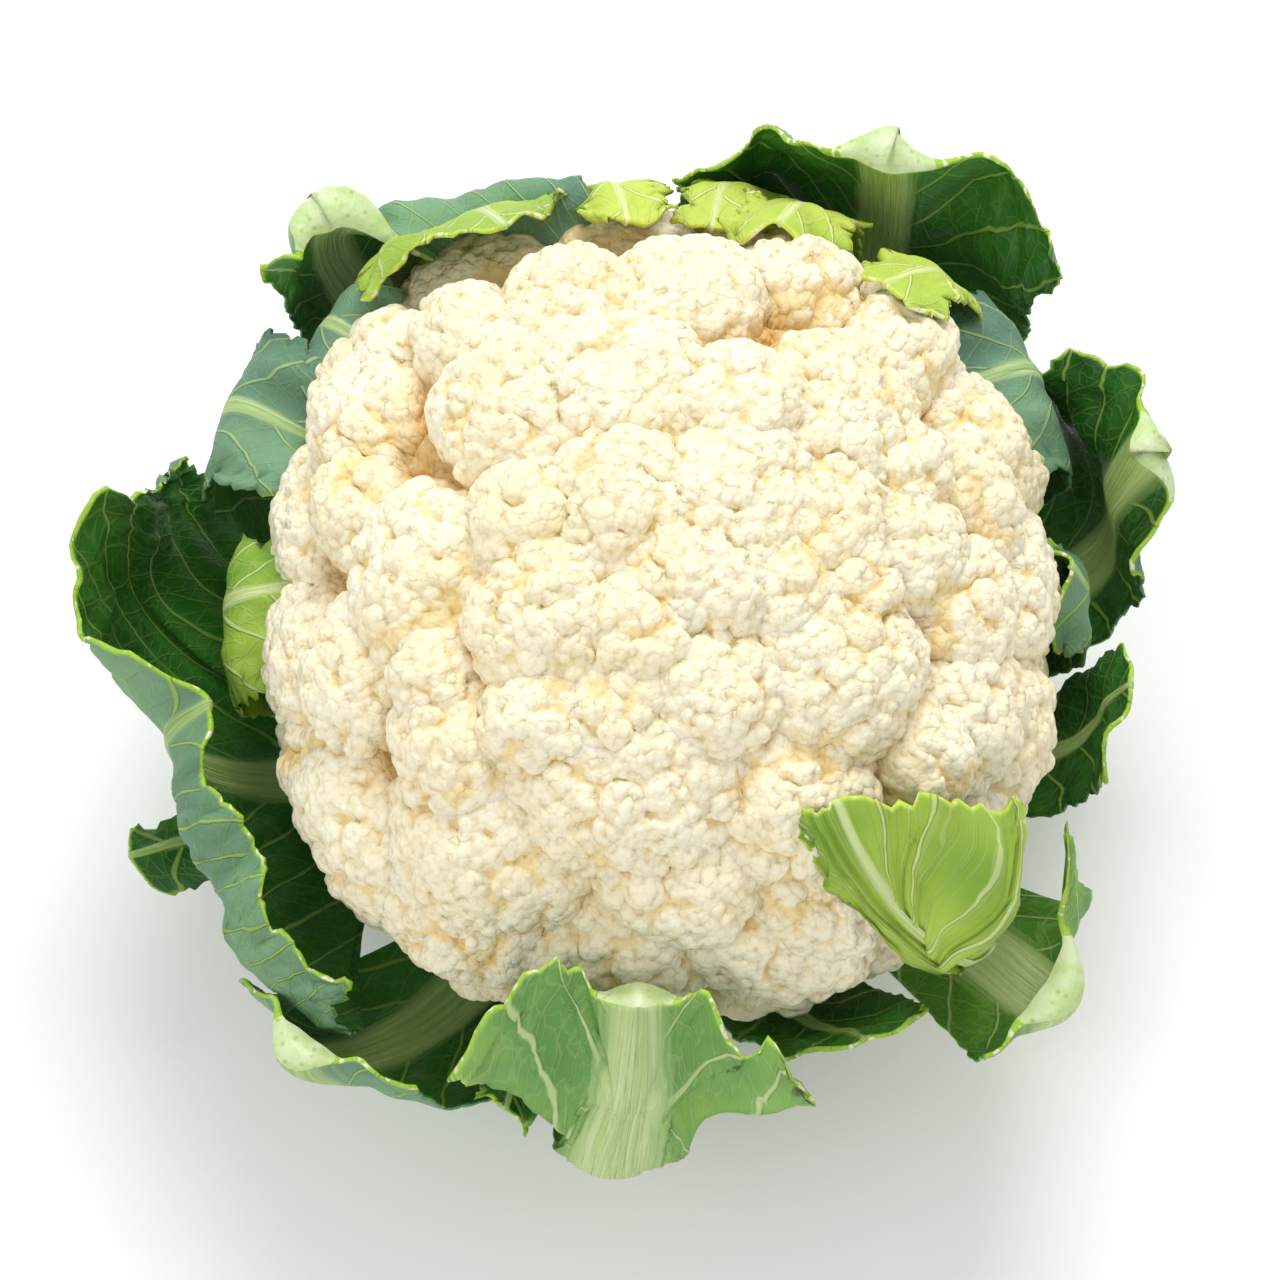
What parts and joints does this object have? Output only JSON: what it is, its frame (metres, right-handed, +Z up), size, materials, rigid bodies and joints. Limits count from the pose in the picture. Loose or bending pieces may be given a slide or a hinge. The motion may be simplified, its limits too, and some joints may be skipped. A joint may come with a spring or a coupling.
{
  "type": "cauliflower",
  "caption": "Trimmed cauliflower head: a bumpy cream curd on a short cut stalk, held in a loose ring of cut-back green leaves, resting on the stalk's flat cut face.",
  "frame": {"origin": "centre of the stalk's flat cut face, on which the head rests", "axes": "+Z up along the stalk to the crown of the curd; +Y to the back of the head; +X to its right side"},
  "size_m": [0.2179, 0.2219, 0.1407],
  "materials": {
    "curd": "matte cream vegetable flesh, granular",
    "stalk": "moist pale green flesh",
    "leaf_dark": "satin dark green leaf",
    "leaf_blue_green": "matte waxy blue-green leaf",
    "leaf_mid_green": "satin mid-green leaf with pale ribs",
    "leaf_pale": "satin pale green leaf",
    "leaf_yellow": "satin yellow-green leaf"
  },
  "bodies": {
    "root": {"curd": "curd", "stalk": "stalk", "outer_leaf_back_right": "leaf_dark", "outer_leaf_right": "leaf_dark", "outer_leaf_left": "leaf_dark", "outer_leaf_back_left": "leaf_blue_green", "outer_leaf_front": "leaf_mid_green", "outer_leaf_front_left": "leaf_dark", "outer_leaf_front_right": "leaf_mid_green", "outer_leaf_left_low": "leaf_dark", "folded_leaf_front_right": "leaf_pale", "narrow_leaf_front": "leaf_dark", "leaf_front": "leaf_dark", "leaf_right_low": "leaf_dark", "crumpled_leaf_right": "leaf_dark", "folded_leaf_right": "leaf_blue_green", "folded_leaf_left": "leaf_blue_green", "curled_leaf_left": "leaf_blue_green", "inner_leaf_back_left": "leaf_pale", "inner_leaf_back": "leaf_yellow", "inner_leaf_back_middle": "leaf_yellow", "small_leaf_back_right": "leaf_yellow", "small_leaf_right": "leaf_yellow", "inner_leaf_left": "leaf_pale"}
  },
  "joints": []
}
